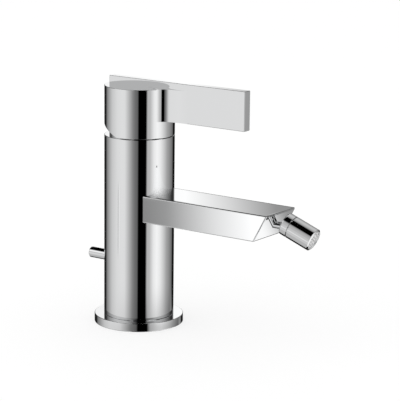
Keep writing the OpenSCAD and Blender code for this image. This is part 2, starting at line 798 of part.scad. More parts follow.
// Sleeve of the nozzle: cup for the ball in its rear, jet former in its front
module aerator_sleeve() {
    color("gainsboro") in_nozzle() rotate_extrude() polygon(concat(
        arc([0, 0], socket_in_r, SEAM_ANGLE, WAY_ANGLE, 2 * BALL_STEPS),
        [[sleeve_way_r, jet_seat_s], [jet_r + fit_clear, jet_seat_s]],
        arc([jet_r + fit_clear + edge_r, sleeve_l - edge_r], edge_r, 180, 90),
        arc([socket_r - edge_r, sleeve_l - edge_r], edge_r, 90, 0),
        arc([socket_r - fit_clear, fit_clear], fit_clear, 0, -90),
        [[sleeve_lip_r, 0], [sleeve_lip_r, seam_s]]));
}

// Rubber washer behind the jet former
module aerator_washer() {
    color("dimgray") in_nozzle() ring(sleeve_way_r + fit_clear, jet_r, jet_seat_s, jet_z);
}

// Plastic jet former: a cup whose front is a grid of holes
module aerator_insert() {
    pitch = jet_hole_d * jet_pitch_share;
    color("whitesmoke") in_nozzle() difference() {
        bore(jet_r, jet_z, jet_end);
        bore(jet_r - jet_washer_t, jet_z - over, jet_end - jet_t);
        bore(jet_hole_d / 2, jet_z, jet_end + over);
        for (n = [1:2], i = [1:6 * n]) rotate([0, 0, 360 * i / (6 * n)])
            translate([n * pitch, 0, 0]) bore(jet_hole_d / 2, jet_z, jet_end + over);
    }
}

// Knob at the rear that lifts the pull rod, with its threaded stem
module pull_knob() {
    color("gainsboro") translate([0, 0, knob_z]) rotate([0, -90, 0]) union() {
        bore(knob_stem_d / 2, knob_stem_end + fit_clear, body_r + over);
        turned(knob_d / 2, body_r + lever_gap, knob_reach);
    }
}

// Block that fills the core's channel between two levels
module channel_block(from, to) {
    intersection() {
        bore(core_r - fit_clear, from, to);
        translate([-core_r, -carrier_w / 2, from]) cube([core_r - carrier_front, carrier_w, to - from]);
    }
}

// Plastic block that joins the knob to the rod
module rod_carrier() {
    color("ivory") difference() {
        channel_block(knob_z - carrier_h / 2, knob_z + carrier_h / 2);
        translate([-rod_back, 0, 0]) bore(rod_r + fit_clear / 2, 0, column_top);
        translate([0, 0, knob_z]) rotate([0, -90, 0])
            bore(knob_stem_d / 2 + fit_clear / 2, rod_back, body_r);
    }
}

// Pull rod of the pop-up waste, tapped at its lower end
module pull_rod() {
    color("silver") translate([-rod_back, 0, 0]) difference() {
        turned(rod_r, rod_foot, knob_z + carrier_h / 2);
        bore(rod_tap_d / 2, 0, rod_foot + rod_tap_depth);
    }
}

// Plastic bush in the channel's foot that guides the rod
module rod_guide() {
    foot = flange_h + lip_h;
    color("ivory") difference() {
        channel_block(foot, foot + guide_h);
        translate([-rod_back, 0, 0]) bore(rod_r + run_clear, 0, column_top);
    }
}

base_flange();
base_seal();
body_column();
water_core();
core_o_rings();
column_grub_screws();
spout();
spout_spigot();
spigot_o_ring();
cartridge_base();
port_seals();
cartridge_housing();
fixed_ceramic_disc();
moving_ceramic_disc();
disc_carrier();
lever_rotor();
pivot_pin();
spindle();
cartridge_nut();
cover_collar();
lever_handle();
handle_grub_screw();
index_plug();
ball_nipple();
ball_seat_ring();
ball_retainer();
socket_ring();
aerator_sleeve();
aerator_washer();
aerator_insert();
pull_knob();
rod_carrier();
pull_rod();
rod_guide();
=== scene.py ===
from math import acos, cos, pi, radians, sin, tan

import bmesh
import bpy
from mathutils import Matrix, Vector


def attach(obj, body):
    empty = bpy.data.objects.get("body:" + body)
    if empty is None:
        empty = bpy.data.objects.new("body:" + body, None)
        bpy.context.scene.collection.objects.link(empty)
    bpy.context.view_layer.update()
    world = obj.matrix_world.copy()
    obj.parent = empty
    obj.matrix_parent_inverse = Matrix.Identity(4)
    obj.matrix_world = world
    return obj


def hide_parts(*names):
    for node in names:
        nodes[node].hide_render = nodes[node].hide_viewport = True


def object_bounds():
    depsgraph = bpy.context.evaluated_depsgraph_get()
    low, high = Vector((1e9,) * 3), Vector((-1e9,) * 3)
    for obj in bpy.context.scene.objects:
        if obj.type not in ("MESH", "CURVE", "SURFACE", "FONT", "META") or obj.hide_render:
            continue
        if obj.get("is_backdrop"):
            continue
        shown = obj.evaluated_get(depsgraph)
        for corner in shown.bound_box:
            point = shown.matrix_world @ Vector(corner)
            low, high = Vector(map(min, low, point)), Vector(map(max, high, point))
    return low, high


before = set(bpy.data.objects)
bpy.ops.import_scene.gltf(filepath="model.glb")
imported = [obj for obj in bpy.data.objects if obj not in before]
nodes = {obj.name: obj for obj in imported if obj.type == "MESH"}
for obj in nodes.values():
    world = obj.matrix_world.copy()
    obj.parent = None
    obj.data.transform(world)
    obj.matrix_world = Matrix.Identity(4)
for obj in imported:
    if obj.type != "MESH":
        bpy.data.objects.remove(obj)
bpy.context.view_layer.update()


# Flange: a turned brass disc, polished and plated with chrome like every piece
# that shows. The column stands round its lip, and a flat rubber seal in a
# groove under it keeps water off the deck.

FLANGE_R = 0.02875
FLANGE_TOP = 0.0055
FLANGE_BORE_R = 0.0150
SEAL_INNER_R = 0.02275
SEAL_OUTER_R = 0.02625
SEAL_GROOVE = 0.0016
LIP_R = 0.0190
LIP_BORE_R = 0.0172
LIP_TOP = 0.0070
TURNED_EDGE = 0.0004
FINE_EDGE = 0.0003

CHROME_COLOUR = (0.88, 0.885, 0.89, 1)
CHROME_ROUGH = 0.010
SMEAR_ROUGH = 0.012
MARK_ROUGH = 0.006
SMEAR_SCALE = 45.0
SMEAR_DETAIL = 3.0
SMEAR_RANGE = (0.5, 0.8)
MARK_SCALE = 900.0
MARK_DETAIL = 2.0
MARK_RELIEF = 0.006
RELIEF_DEPTH = 0.0001
LATHE_MARKS = (1, 1, 12)

JOIN_WITHIN = 1e-7
ON_AXIS = 1e-9
SHARP_ANGLE = 32
FLAT_FACE_WEIGHT = 100


class Wire:
    """One socket of a shader tree. Sums and products of wires add Math nodes."""

    def __init__(self, tree, socket=None):
        self.tree = tree
        self.socket = socket

    def add(self, kind, settings=None, sockets=None, out=0):
        """Any node: its settings first, then its sockets' values or wires."""
        node = self.tree.nodes.new("ShaderNode" + kind)
        for name, value in (settings or {}).items():
            if name == "stops":
                ramp = node.color_ramp.elements
                ramp.remove(ramp[1])
                ramp[0].position = value[0][0]
                ramp[0].color = (value[0][1],) * 3 + (1,)
                for place, tone in value[1:]:
                    ramp.new(place).color = (tone,) * 3 + (1,)
            else:
                setattr(node, name, value)
        for name, value in (sockets or {}).items():
            if isinstance(value, Wire):
                self.tree.links.new(value.socket, node.inputs[name])
            else:
                node.inputs[name].default_value = value
        return Wire(self.tree, node.outputs[out]) if len(node.outputs) else None

    def math(self, operation, *values):
        return self.add("Math", {"operation": operation}, dict(enumerate(values)))

    def __add__(self, other):
        return self.math("ADD", self, other)

    def __sub__(self, other):
        return self.math("SUBTRACT", self, other)

    def __rsub__(self, other):
        return self.math("SUBTRACT", other, self)

    def __mul__(self, other):
        return self.math("MULTIPLY", self, other)

    __radd__ = __add__
    __rmul__ = __mul__

    def step(self, low, high):
        """Nought below low and one above high, with a soft step between them."""
        return self.add("MapRange", {"interpolation_type": "SMOOTHSTEP"},
                        {"Value": self, "From Min": low, "From Max": high})

    def feed(self, socket):
        """Leads the wire into a socket of a node that stands already."""
        self.tree.links.new(self.socket, socket)


def emptied(owner):
    """A free wire in the owner's node tree, which starts with no nodes."""
    owner.use_nodes = True
    owner.node_tree.nodes.clear()
    return Wire(owner.node_tree)


def new_finish(name, **constants):
    """A material, a free wire in it, and the sockets of its shader.

    The constants are written on the shader's own sockets.
    """
    made = bpy.data.materials.new(name)
    free = emptied(made)
    shader = free.add("BsdfPrincipled")
    free.add("OutputMaterial", sockets={"Surface": shader})
    sockets = shader.socket.node.inputs
    for socket, value in constants.items():
        sockets[socket.replace("_", " ")].default_value = value
    return made, free, sockets


def plated(name, stretch):
    """Bright chrome: a mirror with faint smears and finer marks left by polishing.

    stretch scales the marks along each axis, so that they run the way the wheel
    or the lathe did.
    """
    made, free, shader = new_finish(name, Base_Color=CHROME_COLOUR, Metallic=1.0)
    place = free.add("TexCoord", out="Object")
    smears = free.add("TexNoise", sockets={"Vector": place, "Scale": SMEAR_SCALE, "Detail": SMEAR_DETAIL})
    along = free.add("VectorMath", {"operation": "MULTIPLY"}, {0: place, 1: stretch})
    fine = free.add("TexNoise", sockets={"Vector": along, "Scale": MARK_SCALE, "Detail": MARK_DETAIL})
    rough = CHROME_ROUGH + SMEAR_ROUGH * smears.step(*SMEAR_RANGE) + MARK_ROUGH * fine
    rough.feed(shader["Roughness"])
    relief = free.add("Bump", sockets={"Height": fine, "Strength": MARK_RELIEF, "Distance": RELIEF_DEPTH})
    relief.feed(shader["Normal"])
    return made


def softened(corners, steps=6):
    """Closed outline through corners (x, y, radius), each rounded by its radius."""
    outline = []
    earlier = corners[-1:] + corners[:-1]
    later = corners[1:] + corners[:1]
    for before, (x, y, r), after in zip(earlier, corners, later):
        corner = Vector((x, y))
        if r == 0:
            outline.append(tuple(corner))
            continue
        back = (Vector(before[:2]) - corner).normalized()
        ahead = (Vector(after[:2]) - corner).normalized()
        half = acos(max(-1, min(1, back.dot(ahead)))) / 2
        centre = corner + (back + ahead).normalized() * r / sin(half)
        start = corner + back * r / tan(half) - centre
        turn = (pi - 2 * half) * (1 if back.x * ahead.y - back.y * ahead.x < 0 else -1)
        for i in range(steps + 1):
            a = turn * i / steps
            outline.append((centre.x + start.x * cos(a) - start.y * sin(a),
                            centre.y + start.x * sin(a) + start.y * cos(a)))
    return outline


def mesh_from(name, bm):
    """Closes a mesh, turns its faces outwards and sets it in the scene."""
    bmesh.ops.remove_doubles(bm, verts=bm.verts, dist=JOIN_WITHIN)
    bmesh.ops.recalc_face_normals(bm, faces=bm.faces)
    mesh = bpy.data.meshes.new(name)
    bm.to_mesh(mesh)
    bm.free()
    made = bpy.data.objects.new(name, mesh)
    bpy.context.scene.collection.objects.link(made)
    return made


def spun(name, outline, steps=192, place=Matrix()):
    """Solid of revolution: the closed outline holds (radius, height) points."""
    bm = bmesh.new()
    rings = []
    for i in range(steps):
        a = 2 * pi * i / steps
        rings.append([bm.verts.new(place @ Vector((r * cos(a), r * sin(a), z))) for r, z in outline])
    for i, ring in enumerate(rings):
        after = rings[(i + 1) % steps]
        for j in range(len(outline)):
            k = (j + 1) % len(outline)
            if outline[j][0] > ON_AXIS or outline[k][0] > ON_AXIS:
                bm.faces.new((ring[j], after[j], after[k], ring[k]))
    return mesh_from(name, bm)


def mounted(made, finish, body, *stands_for):
    """Gives a piece its finish and its smooth faces, and fixes it to its body."""
    made.data.materials.clear()
    made.data.materials.append(finish)
    made.data.shade_smooth()
    made.data.set_sharp_from_angle(angle=radians(SHARP_ANGLE))
    even = made.modifiers.new("even_normals", "WEIGHTED_NORMAL")
    even.keep_sharp = True
    even.weight = FLAT_FACE_WEIGHT
    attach(made, body)
    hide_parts(*stands_for)


lathe_chrome = plated("lathe_polished_chrome", LATHE_MARKS)
flange = spun("flange", softened([
    (FLANGE_BORE_R, 0, 0),
    (SEAL_INNER_R, 0, 0),
    (SEAL_INNER_R, SEAL_GROOVE, 0),
    (SEAL_OUTER_R, SEAL_GROOVE, 0),
    (SEAL_OUTER_R, 0, 0),
    (FLANGE_R, 0, TURNED_EDGE),
    (FLANGE_R, FLANGE_TOP, TURNED_EDGE),
    (LIP_R, FLANGE_TOP, 0),
    (LIP_R, LIP_TOP, FINE_EDGE),
    (LIP_BORE_R, LIP_TOP, FINE_EDGE),
    (LIP_BORE_R, FLANGE_TOP, 0),
    (FLANGE_BORE_R, FLANGE_TOP, 0)]))
mounted(flange, lathe_chrome, "body", "base_flange")


# Column: a brass tube turned to size, with the cartridge's chamber and its
# thread in the top. A slot for the pop-up knob and two holes for the locking
# screws are milled in its rear.

COLUMN_R = 0.0225
COLUMN_TOP = 0.1232
COLUMN_BORE_R = 0.0191
CHAMBER_R = 0.0176
CHAMBER_FLOOR = 0.0960
THREAD_R = 0.0185
THREAD_END = 0.1171

REAR = 180
KNOB_Z = 0.0397
SLOT_ABOVE = 0.0223
SLOT_BELOW = 0.0022
SLOT_HALF_WIDTH = 0.00225
SLOT_CORNER_R = 0.0022
SLOT_CORNER_STEPS = 8
SLOT_DEPTH = (0.018, 0.024)
SCREW_R = 0.0021
SCREW_Z = 0.0165
SCREW_ANGLE = 145
SCREW_DEPTH = (0.012, 0.024)


def prism(name, outline, low, high, place=Matrix()):
    """Upright prism over a closed outline of (x, y) points."""
    bm = bmesh.new()
    foot = [bm.verts.new(place @ Vector((x, y, low))) for x, y in outline]
    head = [bm.verts.new(place @ Vector((x, y, high))) for x, y in outline]
    bm.faces.new(foot)
    bm.faces.new(head)
    for i in range(len(outline)):
        k = (i + 1) % len(outline)
        bm.faces.new((foot[i], foot[k], head[k], head[i]))
    return mesh_from(name, bm)


def outward(angle, height):
    """Frame at a height on the axis, with Z pointing out at that angle and X down."""
    turned = Matrix.Rotation(radians(angle), 4, "Z") @ Matrix.Rotation(pi / 2, 4, "Y")
    return Matrix.Translation((0, 0, height)) @ turned


def block_outline(x_low, x_high, half_width, corner_r=0):
    """Four corners of a block that is as wide to each side of the middle."""
    return [(x_low, -half_width, corner_r), (x_high, -half_width, corner_r),
            (x_high, half_width, corner_r), (x_low, half_width, corner_r)]


def ring_outline(r, steps=48):
    return [(r * cos(2 * pi * i / steps), r * sin(2 * pi * i / steps)) for i in range(steps)]


def shaped(made, *others, operation="DIFFERENCE"):
    """Cuts the others out of a piece, or joins them to it, and drops them."""
    for other in others:
        step = made.modifiers.new("shape", "BOOLEAN")
        step.operation = operation
        step.solver = "EXACT"
        step.object = other
        bpy.context.view_layer.update()
        cut = made.evaluated_get(bpy.context.evaluated_depsgraph_get())
        result = bpy.data.meshes.new_from_object(cut)
        made.modifiers.clear()
        made.data = result
        bpy.data.objects.remove(other)
    return made


column = spun("column", softened([
    (COLUMN_BORE_R, FLANGE_TOP, 0),
    (COLUMN_R, FLANGE_TOP, TURNED_EDGE),
    (COLUMN_R, COLUMN_TOP, FINE_EDGE),
    (THREAD_R, COLUMN_TOP, FINE_EDGE),
    (THREAD_R, THREAD_END, 0),
    (CHAMBER_R, THREAD_END, 0),
    (CHAMBER_R, CHAMBER_FLOOR, 0),
    (COLUMN_BORE_R, CHAMBER_FLOOR, 0)]))
slot_outline = softened(
    block_outline(-SLOT_ABOVE, SLOT_BELOW, SLOT_HALF_WIDTH, SLOT_CORNER_R), SLOT_CORNER_STEPS)
slot = prism("slot", slot_outline, *SLOT_DEPTH, outward(REAR, KNOB_Z))
screw_holes = [prism("screw_hole", ring_outline(SCREW_R), *SCREW_DEPTH, outward(angle, SCREW_Z))
               for angle in (SCREW_ANGLE, -SCREW_ANGLE)]
shaped(column, slot, *screw_holes)
mounted(column, lathe_chrome, "body", "body_column")


# Spout: a flat brass box with lapped faces and crisp edges, closed by a
# slanted end. It is screwed to the column, whose round it fits.

SPOUT_LOW = 0.0702
SPOUT_TOP = 0.08745
SPOUT_WIDTH = 0.033
SPOUT_BACK_X = 0.010
END_LOW_X = 0.09923
END_TOP_X = 0.10853
END_SLANT = radians(28.34)
TOP_FALL = ((0.0019, 5.5), (0.0010, 4.2))
END_FALL = ((0.0009, 16), (0.0006, 9))
LOWER_EDGE = 0.0006
LOWER_EDGE_STEPS = 6
SPOUT_EDGE = 0.0005
LONG_EDGE = 0.06
SPOUT_HALF_UP = 0.075
SEAT_LOW = 0.06
SEAT_TOP = 0.10
LAPPING_MARKS = (1, 6, 6)


def pushed(name, outline, depth, place):
    """Prism over an outline, half its depth to each side of the middle plane."""
    return prism(name, outline, -depth / 2, depth / 2, place)


def rolled_off(made, towards, zones):
    """Lets the face that looks towards fall away round its border, as lapping leaves it.

    Each zone is a width and the angle that it falls by, from the edge inwards.
    """
    bm = bmesh.new()
    bm.from_mesh(made.data)
    face = max(bm.faces, key=lambda f: f.normal.dot(towards))
    for width, angle in zones:
        for vert in face.verts:
            vert.co -= face.normal * width * tan(radians(angle))
    for width, angle in zones:
        fall = width * tan(radians(angle))
        bmesh.ops.inset_region(bm, faces=[face], thickness=width, depth=fall)
    bm.to_mesh(made.data)
    bm.free()


def crisp(made, radius, segments=4, angle=30, chosen=lambda edge: True):
    """Rounds the chosen edges of a solid that are sharper than the angle."""
    bm = bmesh.new()
    bm.from_mesh(made.data)
    edges = [e for e in bm.edges if e.calc_face_angle(0) > radians(angle) and chosen(e)]
    bmesh.ops.bevel(bm, geom=edges, offset=radius, segments=segments, profile=0.5,
                    affect="EDGES", clamp_overlap=False)
    bm.to_mesh(made.data)
    bm.free()


def long_and_low(edge):
    return edge.calc_length() > LONG_EDGE and edge.verts[0].co.z < SPOUT_HALF_UP


on_side = Matrix.Rotation(pi / 2, 4, "X")
upwards = Vector((0, 0, 1))
out_of_end = Vector((cos(END_SLANT), 0, -sin(END_SLANT)))
lapped_chrome = plated("lapped_chrome", LAPPING_MARKS)
spout = pushed("spout", [(SPOUT_BACK_X, SPOUT_LOW), (END_LOW_X, SPOUT_LOW),
                         (END_TOP_X, SPOUT_TOP), (SPOUT_BACK_X, SPOUT_TOP)], SPOUT_WIDTH, on_side)
rolled_off(spout, upwards, TOP_FALL)
rolled_off(spout, out_of_end, END_FALL)
crisp(spout, LOWER_EDGE, LOWER_EDGE_STEPS, chosen=long_and_low)
crisp(spout, SPOUT_EDGE)
shaped(spout, spun("column_round", [(0, SEAT_LOW), (COLUMN_R, SEAT_LOW),
                                    (COLUMN_R, SEAT_TOP), (0, SEAT_TOP)]))
mounted(spout, lapped_chrome, "body", "spout")


# Cover collar: a chromed cap nut over the ring nut. It shows under the lever
# when that is lifted, and in the wedge cut from the lever's rear.

COLLAR_R = 0.0193
COLLAR_FOOT_R = 0.0184
COLLAR_FOOT = 0.1216
COLLAR_TOP = 0.1270
COLLAR_BORE_R = 0.0135
COLLAR_MOUTH_R = 0.0115
COLLAR_CEILING = 0.1258

collar = spun("collar", softened([
    (COLLAR_BORE_R, COLLAR_FOOT, 0),
    (COLLAR_FOOT_R, COLLAR_FOOT, 0),
    (COLLAR_FOOT_R, COLUMN_TOP, 0),
    (COLLAR_R, COLUMN_TOP, 0),
    (COLLAR_R, COLLAR_TOP, TURNED_EDGE),
    (COLLAR_MOUTH_R, COLLAR_TOP, FINE_EDGE),
    (COLLAR_MOUTH_R, COLLAR_CEILING, 0),
    (COLLAR_BORE_R, COLLAR_CEILING, 0)]))
mounted(collar, lathe_chrome, "body", "cover_collar")


# Lever: one brass casting, a hollow round cap with a flat blade run through it,
# ground, polished and plated. A hollow rounding leads from the cap into each
# side of the blade, and the cap's rear is cut away so that the lever can lift.

CAP_R = 0.0225
CAP_LOW = 0.1236
CAP_TOP = 0.1550
BLADE_LOW = 0.1344
BLADE_TOP = 0.1593
BLADE_BACK_X = -0.0223
BLADE_FRONT_X = 0.0823
BLADE_HALF = 0.003
BLADE_EDGE = 0.0004
BLADE_EDGE_ANGLE = 60
ROOT_ARCS = ((0.0140, 14), (0.0075, 37), (None, 13))
ROOT_START = radians(26)

CAVITY_R = 0.0205
CAVITY_LOW = 0.1200
CAVITY_TOP = 0.1346
SOCKET_HALF = 0.00445
SOCKET_TOP = 0.1451
POCKET_R = 0.0195
POCKET_INNER_R = 0.0088
POCKET_TOP = 0.1510
POCKET_LOW = 0.13
WEB_HALF = 0.004
WEB_X = 0.03
WEB_LOW = 0.12
WEB_TOP = 0.16
WEDGE_FRONT_X = -0.001
WEDGE_BACK_X = -0.0240
WEDGE_LOW = 0.1220
WEDGE_ANGLE = 23
WEDGE_WIDTH = 0.050
PLUG_R = 0.0031
PLUG_Z = 0.1394
PLUG_DEPTH = (0.0153, 0.0240)
GROUND_MARKS = (1, 1, 1)


def root_outline(side, steps=8):
    """From the axis out to the cap, round the hollow's three arcs and back along the blade.

    Each arc has a radius and the degrees it turns. The last takes the radius
    that ends it on the blade's side.
    """
    points = [(0, 0)]
    x = CAP_R * cos(ROOT_START)
    y = -CAP_R * sin(ROOT_START)
    facing = -ROOT_START
    for radius, turned in ROOT_ARCS:
        radius = radius or (-BLADE_HALF - y) / (1 + sin(facing))
        middle_x = x + radius * cos(facing)
        middle_y = y + radius * sin(facing)
        for i in range(steps + 1):
            a = facing - radians(turned) * i / steps
            points.append((middle_x - radius * cos(a), side * (middle_y - radius * sin(a))))
        facing -= radians(turned)
        x = middle_x - radius * cos(facing)
        y = middle_y - radius * sin(facing)
    return points + [(x, 0)]


def flat(outline):
    """The same outline without its radii."""
    return [corner[:2] for corner in outline]


lever = spun("lever", softened([
    (0, CAP_LOW, 0), (CAP_R, CAP_LOW, FINE_EDGE), (CAP_R, CAP_TOP, FINE_EDGE), (0, CAP_TOP, 0)]))
blade = prism("blade", softened([
    (BLADE_BACK_X, -BLADE_HALF, 0),
    (BLADE_FRONT_X, -BLADE_HALF, FINE_EDGE),
    (BLADE_FRONT_X, BLADE_HALF, FINE_EDGE),
    (BLADE_BACK_X, BLADE_HALF, 0)]), BLADE_LOW, BLADE_TOP)
crisp(blade, BLADE_EDGE, angle=BLADE_EDGE_ANGLE)
roots = [prism("root", root_outline(side), BLADE_LOW, CAP_TOP) for side in (1, -1)]
shaped(lever, blade, *roots, operation="UNION")

cavity = spun("cavity", [(0, CAVITY_LOW), (CAVITY_R, CAVITY_LOW), (CAVITY_R, CAVITY_TOP), (0, CAVITY_TOP)])
socket_outline = flat(block_outline(-SOCKET_HALF, SOCKET_HALF, SOCKET_HALF))
socket = prism("socket", socket_outline, POCKET_LOW, SOCKET_TOP)
pockets = spun("pockets", [(POCKET_INNER_R, POCKET_LOW), (POCKET_R, POCKET_LOW),
                           (POCKET_R, POCKET_TOP), (POCKET_INNER_R, POCKET_TOP)])
shaped(pockets, prism("web", flat(block_outline(-WEB_X, WEB_X, WEB_HALF)), WEB_LOW, WEB_TOP))
wedge_rise = (WEDGE_FRONT_X - WEDGE_BACK_X) * tan(radians(WEDGE_ANGLE))
wedge = pushed("wedge", [(WEDGE_FRONT_X, CAP_LOW), (WEDGE_FRONT_X, WEDGE_LOW),
                         (WEDGE_BACK_X, WEDGE_LOW), (WEDGE_BACK_X, CAP_LOW + wedge_rise)],
               WEDGE_WIDTH, on_side)
plug_hole = prism("plug_hole", ring_outline(PLUG_R), *PLUG_DEPTH, outward(REAR, PLUG_Z))
shaped(lever, cavity, socket, pockets, wedge, plug_hole)
mounted(lever, plated("ground_chrome", GROUND_MARKS), "lever", "lever_handle")


# Nozzle: two turned brass halves screwed together round the ball, with a seam
# between them. The sleeve in front holds the plastic jet former.

BALL = Vector((0.11655, 0, 0.07895))
NOZZLE_SIDEWAYS = 5.8
NOZZLE_DOWN = 22.8
NOZZLE_R = 0.0072
CUP_R = 0.0061
RING_CUP = (-32, -15)
SLEEVE_CUP = (-14, 62)
SEAM_GAP = 0.0002
SEAM_EDGE = 0.0002
RING_BACK = -0.0054
RING_MOUTH_R = 0.0059
RING_EDGE = 0.0010
RING_THREAD_R = 0.0067
RING_THREAD_END = -0.00157
SLEEVE_THREAD_R = 0.0066
SLEEVE_THREAD_END = -0.00147
SLEEVE_WAY_R = 0.0029
JET_SEAT = 0.0082
SLEEVE_END = 0.0164
CONE_START = 0.0157
MOUTH_R = 0.0063
MOUTH_EDGE = 0.0001
NOZZLE_STEPS = 128


def cup(r, low, high, steps=10):
    """Points of a ball's outline between two angles from its equator."""
    turns = [radians(low + (high - low) * i / steps) for i in range(steps + 1)]
    return [(r * cos(a), r * sin(a), 0) for a in turns]


on_ball = (Matrix.Translation(BALL)
           @ Matrix.Rotation(radians(NOZZLE_SIDEWAYS), 4, "Z")
           @ Matrix.Rotation(radians(90 + NOZZLE_DOWN), 4, "Y"))
socket_ring = spun("socket_ring", softened(cup(CUP_R, *RING_CUP) + [
    (RING_THREAD_R, RING_THREAD_END, 0),
    (RING_THREAD_R, -SEAM_GAP, 0),
    (NOZZLE_R, -SEAM_GAP, SEAM_EDGE),
    (NOZZLE_R, RING_BACK, RING_EDGE),
    (RING_MOUTH_R, RING_BACK, 0)]), NOZZLE_STEPS, on_ball)
mounted(socket_ring, lathe_chrome, "nozzle", "socket_ring")
sleeve = spun("sleeve", softened(cup(CUP_R, *SLEEVE_CUP) + [
    (SLEEVE_WAY_R, JET_SEAT, 0),
    (CUP_R, JET_SEAT, 0),
    (CUP_R, SLEEVE_END, MOUTH_EDGE),
    (MOUTH_R, SLEEVE_END, MOUTH_EDGE),
    (NOZZLE_R, CONE_START, SEAM_EDGE),
    (NOZZLE_R, SEAM_GAP, SEAM_EDGE),
    (SLEEVE_THREAD_R, SEAM_GAP, 0),
    (SLEEVE_THREAD_R, SLEEVE_THREAD_END, 0)]), NOZZLE_STEPS, on_ball)
mounted(sleeve, lathe_chrome, "nozzle", "aerator_sleeve")


# Ball nipple: ball and neck turned in one from brass. The neck is screwed into
# the spout's slanted end and carries the water to the nozzle.

NIPPLE_BALL_R = 0.0054
NIPPLE_ROUND = (-66, 90)
NECK_R = 0.0022
NECK_END = -0.0160
NIPPLE_STEPS = 96

along_spout = Matrix.Translation(BALL) @ Matrix.Rotation(pi / 2, 4, "Y")
nipple_outline = [(0, NECK_END, 0), (NECK_R, NECK_END, 0)] + cup(NIPPLE_BALL_R, *NIPPLE_ROUND)
nipple = spun("ball_nipple", softened(nipple_outline), NIPPLE_STEPS, along_spout)
mounted(nipple, lathe_chrome, "body", "ball_nipple")


# Plug and knob: a small turned plug hides the lever's screw in the cap's rear,
# and a turned knob on a stem works the pop-up waste. Both are chromed.


def finish_nodes(finish, *names):
    """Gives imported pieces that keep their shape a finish."""
    for name in names:
        materials = nodes[name].data.materials
        materials.clear()
        materials.append(finish)


finish_nodes(lathe_chrome, "index_plug", "pull_knob")


# Brass inside: the cast and drilled core in the column, the threaded pipe that
# holds the spout on it, the ring nut and the spindle. They are left raw.

BRASS_COLOUR = (0.60, 0.42, 0.18)
BRASS_ROUGH = 0.22
MOTTLE_SCALE = 260.0
MOTTLE_DETAIL = 4.0
MOTTLE_DARKER = 0.9
MOTTLE_ROUGH = 0.12
MOTTLE_RELIEF = 0.2


def solid(name, tone, rough, **constants):
    """A plain moulded or cast finish with a faint mottle in its tone and gloss."""
    made, free, shader = new_finish(name, **constants)
    place = free.add("TexCoord", out="Object")
    mottle = free.add("TexNoise", sockets={"Vector": place, "Scale": MOTTLE_SCALE,
                                           "Detail": MOTTLE_DETAIL})
    dark = tuple(MOTTLE_DARKER * part for part in tone) + (1,)
    colour = free.add("Mix", {"data_type": "RGBA"}, {"Factor": mottle, 6: dark, 7: tone + (1,)}, out=2)
    colour.feed(shader["Base Color"])
    (rough + MOTTLE_ROUGH * mottle).feed(shader["Roughness"])
    relief = free.add("Bump", sockets={"Height": mottle, "Strength": MOTTLE_RELIEF,
                                       "Distance": RELIEF_DEPTH})
    relief.feed(shader["Normal"])
    return made


raw_brass = solid("raw_brass", BRASS_COLOUR, BRASS_ROUGH, Metallic=1.0)
finish_nodes(raw_brass, "water_core", "spout_spigot", "cartridge_nut", "spindle")


# Steel inside: the headless screws that lock column and lever, the pin that the
# spindle tilts on, and the rod that leads down to the waste.

STEEL_COLOUR = (0.46, 0.46, 0.47)
STEEL_ROUGH = 0.20

steel = solid("steel", STEEL_COLOUR, STEEL_ROUGH, Metallic=1.0)
finish_nodes(steel, "column_grub_screws", "handle_grub_screw", "pivot_pin", "pull_rod")


# Ceramic discs: two pressed and fired discs, lapped flat, that slide on each
# other in the cartridge and open and mix the water.

CERAMIC_COLOUR = (0.82, 0.81, 0.76)
CERAMIC_ROUGH = 0.18

ceramic = solid("ceramic", CERAMIC_COLOUR, CERAMIC_ROUGH)
finish_nodes(ceramic, "fixed_ceramic_disc", "moving_ceramic_disc")


# Moulded plastic: the cartridge's body and moving parts, the rings that the
# ball slides in, and the block and bush that guide the pop-up rod.

PLASTIC_COLOUR = (0.74, 0.73, 0.68)
PLASTIC_ROUGH = 0.35

plastic = solid("plastic", PLASTIC_COLOUR, PLASTIC_ROUGH)
finish_nodes(plastic, "cartridge_base", "cartridge_housing", "disc_carrier", "lever_rotor")
finish_nodes(plastic, "ball_seat_ring", "ball_retainer", "rod_carrier", "rod_guide")


# Jet former: a moulded plastic disc with small holes, clipped in the mouth of
# the sleeve, that breaks the water into fine jets.

JET_FORMER_COLOUR = (0.78, 0.78, 0.78)

finish_nodes(solid("grey_plastic", JET_FORMER_COLOUR, PLASTIC_ROUGH), "aerator_insert")


# Seals: moulded rubber rings and washers, pressed in their grooves under the
# flange, round the core and the pipe, under the cartridge and in the nozzle.

RUBBER_COLOUR = (0.02, 0.02, 0.02)
RUBBER_ROUGH = 0.55

rubber = solid("rubber", RUBBER_COLOUR, RUBBER_ROUGH)
finish_nodes(rubber, "base_seal", "core_o_rings", "spigot_o_ring", "port_seals", "aerator_washer")


# Studio: a round of soft panels and black screens that only reflections see,
# as a polished tap shows the room it stands in. All else gets plain even light.
# Angles round the object are in degrees from the camera, and to its right.

AZIMUTH = radians(37)
BLACK = (0, 0, 0, 1)
WHITE = (1, 1, 1, 1)
SKY_LEAN = 0.0017
CARD_LEFT = (-74.4, -74.0)
CARD_RIGHT = (-70.2, -69.8)
CARD_FOOT = (-14.4, -14.0)
CARD_HEAD = (-12.4, -12.0)

world = bpy.data.worlds.new("studio")
bpy.context.scene.world = world
free = emptied(world)
ray = free.add("TexCoord", out="Generated")


def part_of_ray(axis):
    return free.add("VectorMath", {"operation": "DOT_PRODUCT"}, {0: ray, 1: axis}, out="Value")


toward = part_of_ray((sin(AZIMUTH), -cos(AZIMUTH), 0))
right = part_of_ray((cos(AZIMUTH), sin(AZIMUTH), 0))
up = part_of_ray((0, 0, 1))
turn = free.math("ARCTAN2", right, toward) * (0.5 / pi) + 0.5
bearing = turn * 360 - 180
rise = free.math("ARCSINE", up) * (180 / pi)


